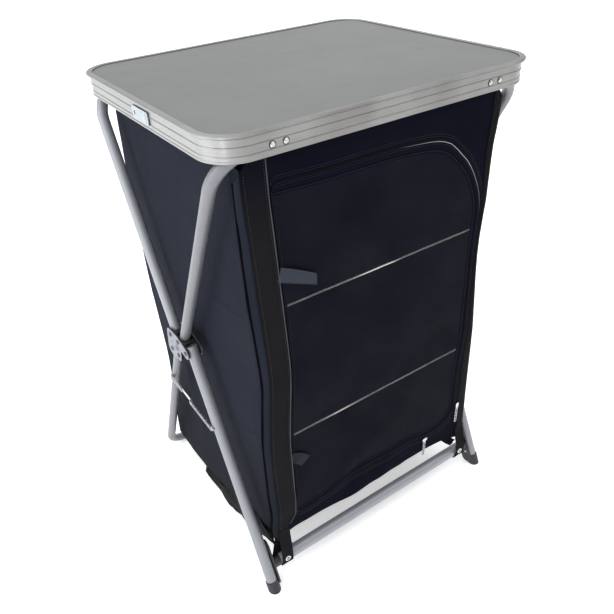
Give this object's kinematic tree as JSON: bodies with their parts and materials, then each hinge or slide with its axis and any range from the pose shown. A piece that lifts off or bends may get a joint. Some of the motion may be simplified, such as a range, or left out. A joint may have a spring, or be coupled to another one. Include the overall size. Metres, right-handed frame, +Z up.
{
  "type": "folding camp table with cabinet",
  "caption": "Folding metal camp table with a rimmed rectangular top, crossed tube legs on two hubs, and a hanging cloth cabinet with shelves and a zipped mesh door",
  "frame": {"origin": "on the ground under the middle of the table top", "axes": "+X to the right seen from the front, +Y to the back, +Z up; the door faces -Y"},
  "size_m": [0.6052, 0.5188, 0.935],
  "materials": {
    "laminate": "matt grey laminate",
    "aluminium_rim": "bright brushed extrusion",
    "zinc_plate": "zinc-plated sheet",
    "bright_rivet": "bright rivet",
    "black_plastic": "matt moulding",
    "silver_tube": "silver-grey powder coat",
    "dark_cloth": "woven dark grey cloth",
    "webbing": "flat woven webbing",
    "mesh": "fine net",
    "zip_tape": "zip tape",
    "rod": "plain rod",
    "chrome": "polished"
  },
  "bodies": {
    "top": {"table_board": "laminate", "rim_extrusion": "aluminium_rim", "rim_splice_plate": "zinc_plate", "front_rim_rivets": "bright_rivet", "rear_rim_rivets": "bright_rivet", "front_clip_left": "black_plastic", "front_clip_right": "black_plastic", "rear_hook_left": "black_plastic", "rear_hook_right": "black_plastic", "left_panel": "dark_cloth", "right_panel": "dark_cloth", "rear_panel": "dark_cloth", "front_panel": "dark_cloth", "floor_panel": "dark_cloth", "shelf_upper": "dark_cloth", "shelf_lower": "dark_cloth", "shelf_rods": "rod", "webbing_left": "webbing", "webbing_right": "webbing", "zipper_tape": "zip_tape", "strap_tails": "webbing"},
    "upper_front": {"upper_front_frame": "silver_tube", "front_hem": "dark_cloth"},
    "hubs": {"hub_outer_plate_left": "zinc_plate", "hub_outer_plate_right": "zinc_plate", "hub_inner_plate_left": "zinc_plate", "hub_inner_plate_right": "zinc_plate", "hub_core_left": "black_plastic", "hub_core_right": "black_plastic", "hub_rivets_left": "bright_rivet", "hub_rivets_right": "bright_rivet"},
    "upper_rear": {"upper_rear_frame": "silver_tube", "rear_hem": "dark_cloth"},
    "lower_front": {"front_leg_left": "silver_tube", "front_leg_right": "silver_tube", "front_crossbar": "silver_tube", "foot_moulding_left": "black_plastic", "foot_moulding_right": "black_plastic", "gusset_rivets_left": "bright_rivet", "gusset_rivets_right": "bright_rivet", "stay_front_rivet_left": "bright_rivet", "stay_front_rivet_right": "bright_rivet", "strap_studs": "chrome"},
    "lower_rear": {"lower_rear_frame": "silver_tube", "stay_rear_rivet_left": "bright_rivet", "stay_rear_rivet_right": "bright_rivet", "stay_bracket_left": "zinc_plate", "stay_bracket_right": "zinc_plate"},
    "stay_front_left_link": {"stay_front_link_left": "zinc_plate"},
    "stay_front_right_link": {"stay_front_link_right": "zinc_plate"},
    "stay_rear_left_link": {"stay_rear_link_left": "zinc_plate"},
    "stay_rear_right_link": {"stay_rear_link_right": "zinc_plate"},
    "door": {"mesh_door": "mesh", "tie_loops": "dark_cloth"},
    "side_slider": {"zip_slider_side": "chrome"},
    "bottom_slider": {"zip_slider_bottom": "chrome"},
    "side_pull": {"zip_pull_side": "chrome"},
    "bottom_pull": {"zip_pull_bottom": "chrome"}
  },
  "joints": [
    {"name": "upper_fold", "type": "hinge", "parent": "top", "child": "upper_front", "pos_m": [0, -0.2263, 0.907], "axis": [1, 0, 0], "range_deg": [-28.41, 0], "deforming": ["strap_tails"]},
    {"name": "hub_level", "type": "hinge", "parent": "upper_front", "child": "hubs", "pos_m": [0, 0.002, 0.485], "axis": [1, 0, 0], "range_deg": [0, 28.41]},
    {"name": "upper_rear_fold", "type": "hinge", "parent": "hubs", "child": "upper_rear", "pos_m": [0, 0.035, 0.484], "axis": [1, 0, 0], "range_deg": [0, 24.61]},
    {"name": "lower_fold", "type": "hinge", "parent": "hubs", "child": "lower_front", "pos_m": [0, -0.029, 0.477], "axis": [1, 0, 0], "range_deg": [0, 24.86], "deforming": ["strap_tails"]},
    {"name": "lower_rear_fold", "type": "hinge", "parent": "hubs", "child": "lower_rear", "pos_m": [0, 0.038, 0.449], "axis": [1, 0, 0], "range_deg": [-25.22, 0]},
    {"name": "stay_front_left_fold", "type": "hinge", "parent": "lower_front", "child": "stay_front_left_link", "pos_m": [-0.2994, -0.09433, 0.336], "axis": [1, 0, 0], "range_deg": [0, 49.81]},
    {"name": "stay_rear_left_fold", "type": "hinge", "parent": "lower_rear", "child": "stay_rear_left_link", "pos_m": [-0.2979, 0.08793, 0.343], "axis": [1, 0, 0], "range_deg": [-36.48, 0]},
    {"name": "stay_front_right_fold", "type": "hinge", "parent": "lower_front", "child": "stay_front_right_link", "pos_m": [0.2994, -0.09433, 0.336], "axis": [1, 0, 0], "range_deg": [0, 49.81]},
    {"name": "stay_rear_right_fold", "type": "hinge", "parent": "lower_rear", "child": "stay_rear_right_link", "pos_m": [0.2979, 0.08793, 0.343], "axis": [1, 0, 0], "range_deg": [-36.48, 0]},
    {"name": "door_swing", "type": "hinge", "parent": "top", "child": "door", "pos_m": [-0.203, -0.2295, 0.5], "axis": [0, 0, -1], "range_deg": [0, 100]},
    {"name": "side_zip", "type": "slide", "parent": "top", "child": "side_slider", "axis": [0, 0, 1], "range_m": [0, 0.46]},
    {"name": "bottom_zip", "type": "slide", "parent": "top", "child": "bottom_slider", "axis": [-1, 0, 0], "range_m": [0, 0.3]},
    {"name": "side_pull_swing", "type": "hinge", "parent": "side_slider", "child": "side_pull", "pos_m": [0.223, -0.2324, 0.1969], "axis": [1, 0, 0], "range_deg": [-100, 0]},
    {"name": "bottom_pull_swing", "type": "hinge", "parent": "bottom_slider", "child": "bottom_pull", "pos_m": [0.13, -0.2324, 0.1484], "axis": [1, 0, 0], "range_deg": [-100, 0]}
  ],
  "couplings": [
    {"joint": "hub_level", "follows": "upper_fold", "ratio": -1},
    {"joint": "upper_rear_fold", "follows": "upper_fold", "ratio": -0.86594},
    {"joint": "lower_rear_fold", "follows": "lower_fold", "ratio": -1.0145},
    {"joint": "stay_front_left_fold", "follows": "lower_fold", "ratio": 2.0036},
    {"joint": "stay_rear_left_fold", "follows": "lower_fold", "ratio": -1.4676},
    {"joint": "stay_front_right_fold", "follows": "lower_fold", "ratio": 2.0036},
    {"joint": "stay_rear_right_fold", "follows": "lower_fold", "ratio": -1.4676}
  ]
}
